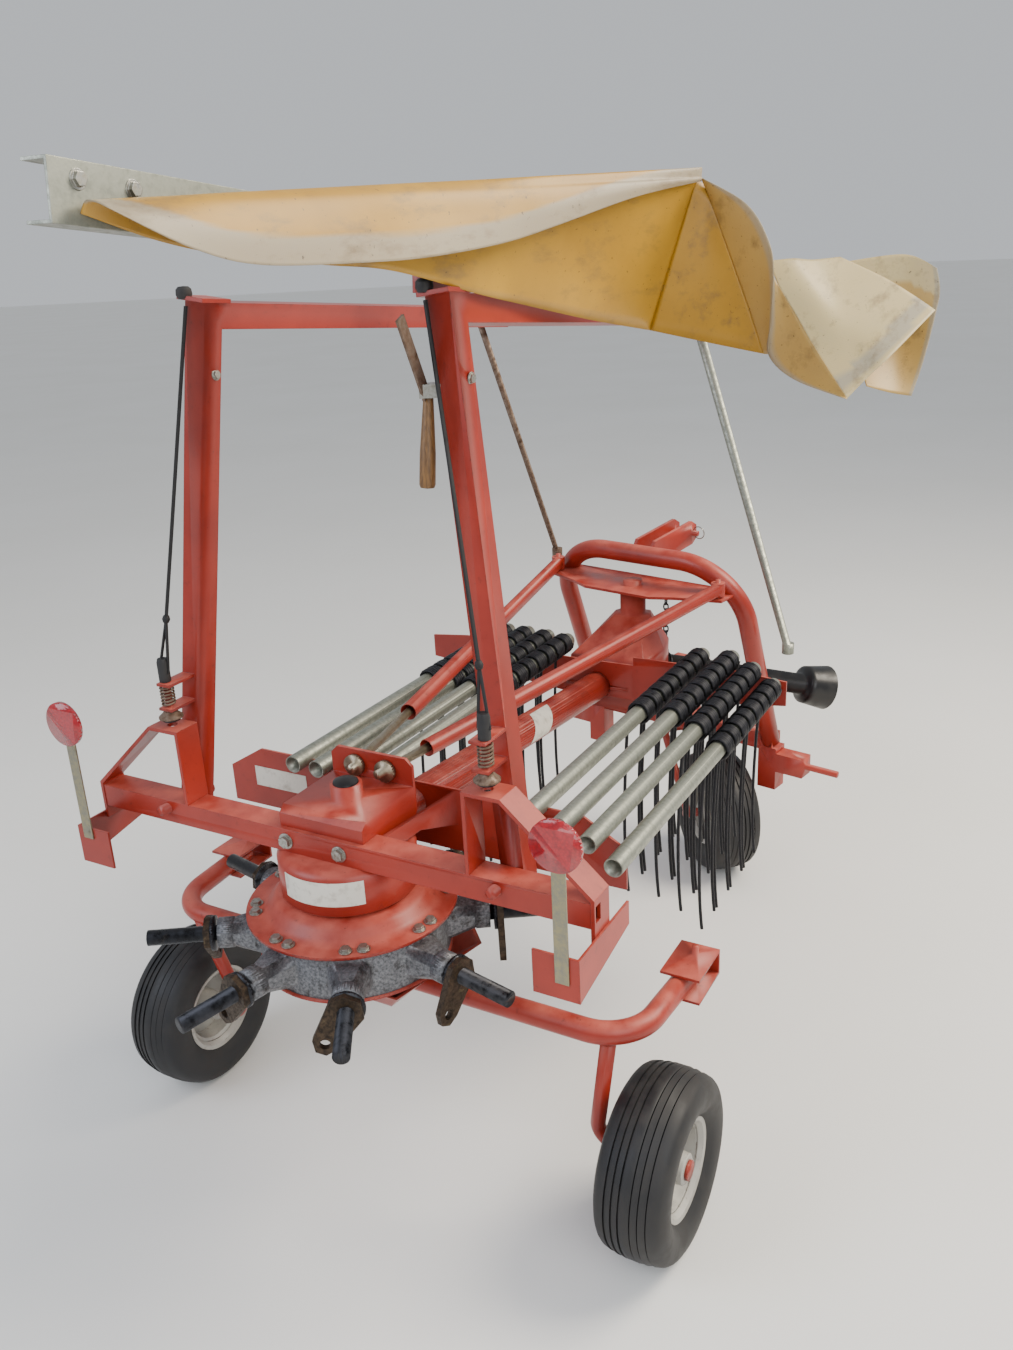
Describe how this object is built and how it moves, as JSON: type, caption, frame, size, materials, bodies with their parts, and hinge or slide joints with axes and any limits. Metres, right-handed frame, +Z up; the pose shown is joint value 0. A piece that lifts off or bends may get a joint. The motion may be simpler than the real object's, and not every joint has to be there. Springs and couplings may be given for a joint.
{
  "type": "three-point mounted rotary rake",
  "caption": "Single-rotor hay rake on three wheels, parked with folded guards, stowed spring-tine arms, swivelling hoop headstock, drive shaft and yellow swath curtain.",
  "frame": {"origin": "on the ground under the middle of the machine's overall length and width", "axes": "+X forward to the headstock, +Y to the machine's left, +Z up"},
  "size_m": [2.8378, 1.6641, 2.1845],
  "materials": {
    "red_paint": "sun-faded orange-red enamel, chalky on top faces",
    "galvanised": "hot-dip galvanised, spangled",
    "black_spring": "black spring steel",
    "black_steel": "greasy blackened steel",
    "cast_aluminium": "rough sand cast, grey",
    "cast_iron": "brown, lightly rusted casting",
    "tyre": "ribbed black tyre, dusty",
    "rim_paint": "light grey enamel",
    "red_lens": "red reflector",
    "zinc_strip": "yellow zinc plated",
    "rusty_steel": "bare bar with surface rust",
    "worn_steel": "bare rod, streaked",
    "black_plastic": "black guard plastic",
    "yellow_pvc": "faded yellow coated cloth"
  },
  "bodies": {
    "frame": {"chassis_tube": "red_paint", "chassis_clasps": "red_paint", "wheel_legs": "red_paint", "rotor_column": "red_paint", "gearbox_housing": "red_paint", "rear_beam": "red_paint", "end_brackets": "red_paint", "strip_holders": "red_paint", "reflector_strips": "zinc_strip", "reflectors": "red_lens", "gearbox_bracket": "red_paint", "rear_rack_plate": "red_paint", "main_tube": "red_paint", "front_box": "red_paint", "stowed_arm_tubes": "galvanised", "stowed_tines": "black_spring"},
    "rotor": {"rotor_shell": "red_paint", "arm_castings": "cast_aluminium", "arm_stubs": "black_steel", "arm_levers": "cast_iron"},
    "wheel_left": {"tyre_left": "tyre", "rim_left": "rim_paint"},
    "wheel_right": {"tyre_right": "tyre", "rim_right": "rim_paint"},
    "castor_wheel": {"tyre_castor": "tyre", "rim_castor": "rim_paint"},
    "castor_fork": {"castor_fork": "red_paint"},
    "headstock": {"headstock_hoop": "red_paint", "swivel_plate": "red_paint", "lower_frame": "red_paint", "top_link_plates": "red_paint", "pto_guard": "black_plastic", "pto_chain": "black_steel"},
    "pto_shaft": {"pto_shaft": "black_steel"},
    "damper_rod_left": {"damper_rod_left": "worn_steel"},
    "damper_rod_right": {"damper_rod_right": "worn_steel"},
    "damper_tube_left": {"damper_tube_left": "red_paint"},
    "damper_tube_right": {"damper_tube_right": "red_paint"},
    "guard_left": {"guard_left": "red_paint", "stay_left": "rusty_steel"},
    "guard_right": {"guard_right": "red_paint", "stay_right": "galvanised", "curtain_arm": "galvanised", "curtain": "yellow_pvc"}
  },
  "joints": [
    {"name": "wheel_left_spin", "type": "hinge", "parent": "frame", "child": "wheel_left", "pos_m": [-0.539, 0.75, 0.205], "axis": [0, 1, 0], "continuous": true},
    {"name": "wheel_right_spin", "type": "hinge", "parent": "frame", "child": "wheel_right", "pos_m": [-0.539, -0.556, 0.205], "axis": [0, 1, 0], "continuous": true},
    {"name": "castor_wheel_spin", "type": "hinge", "parent": "castor_fork", "child": "castor_wheel", "pos_m": [1.05551, -0.12136, 0.205], "axis": [-0.6884, 0.7254, 0], "continuous": true},
    {"name": "castor_swivel", "type": "hinge", "parent": "headstock", "child": "castor_fork", "pos_m": [1.21219, 0.02732, 0.45], "axis": [0, 0, 1], "range_deg": [-105, 0]},
    {"name": "rotor_spin", "type": "hinge", "parent": "frame", "child": "rotor", "pos_m": [-0.672, 0.097, 0.704], "axis": [0, 0, 1], "continuous": true},
    {"name": "headstock_swivel", "type": "hinge", "parent": "frame", "child": "headstock", "pos_m": [0.859, 0.097, 0.9], "axis": [0, 0, 1], "range_deg": [-5, 27]},
    {"name": "pto_spin", "type": "hinge", "parent": "headstock", "child": "pto_shaft", "pos_m": [1.36981, -0.39905, 0.57773], "axis": [0.6875, -0.6676, -0.2857], "continuous": true},
    {"name": "damper_rod_left_pivot", "type": "hinge", "parent": "frame", "child": "damper_rod_left", "pos_m": [-0.558, 0.137, 1.028], "axis": [0, 0, 1], "range_deg": [-0.21, 1.16]},
    {"name": "damper_rod_right_pivot", "type": "hinge", "parent": "frame", "child": "damper_rod_right", "pos_m": [-0.558, 0.057, 1.028], "axis": [0, 0, 1], "range_deg": [-0.21, 1.15]},
    {"name": "damper_tube_left_pivot", "type": "hinge", "parent": "headstock", "child": "damper_tube_left", "pos_m": [0.92491, 0.38978, 1.068], "axis": [0, 0, 1], "range_deg": [-27.19, 5.04]},
    {"name": "damper_tube_right_pivot", "type": "hinge", "parent": "headstock", "child": "damper_tube_right", "pos_m": [0.80878, -0.19888, 1.068], "axis": [0, 0, 1], "range_deg": [-27.2, 5.04]},
    {"name": "guard_left_fold", "type": "hinge", "parent": "frame", "child": "guard_left", "pos_m": [-0.671, 0.512, 0.931], "axis": [-0.9968, 0, 0.0802], "range_deg": [0, 97.4]},
    {"name": "guard_right_fold", "type": "hinge", "parent": "frame", "child": "guard_right", "pos_m": [-0.671, -0.318, 0.931], "axis": [0.9968, 0, -0.0802], "range_deg": [0, 97.4]}
  ],
  "couplings": [
    {"joint": "damper_rod_left_pivot", "follows": "headstock_swivel", "ratio": 0.041},
    {"joint": "damper_rod_right_pivot", "follows": "headstock_swivel", "ratio": 0.0405},
    {"joint": "damper_tube_left_pivot", "follows": "headstock_swivel", "ratio": -0.959},
    {"joint": "damper_tube_right_pivot", "follows": "headstock_swivel", "ratio": -0.9595}
  ]
}
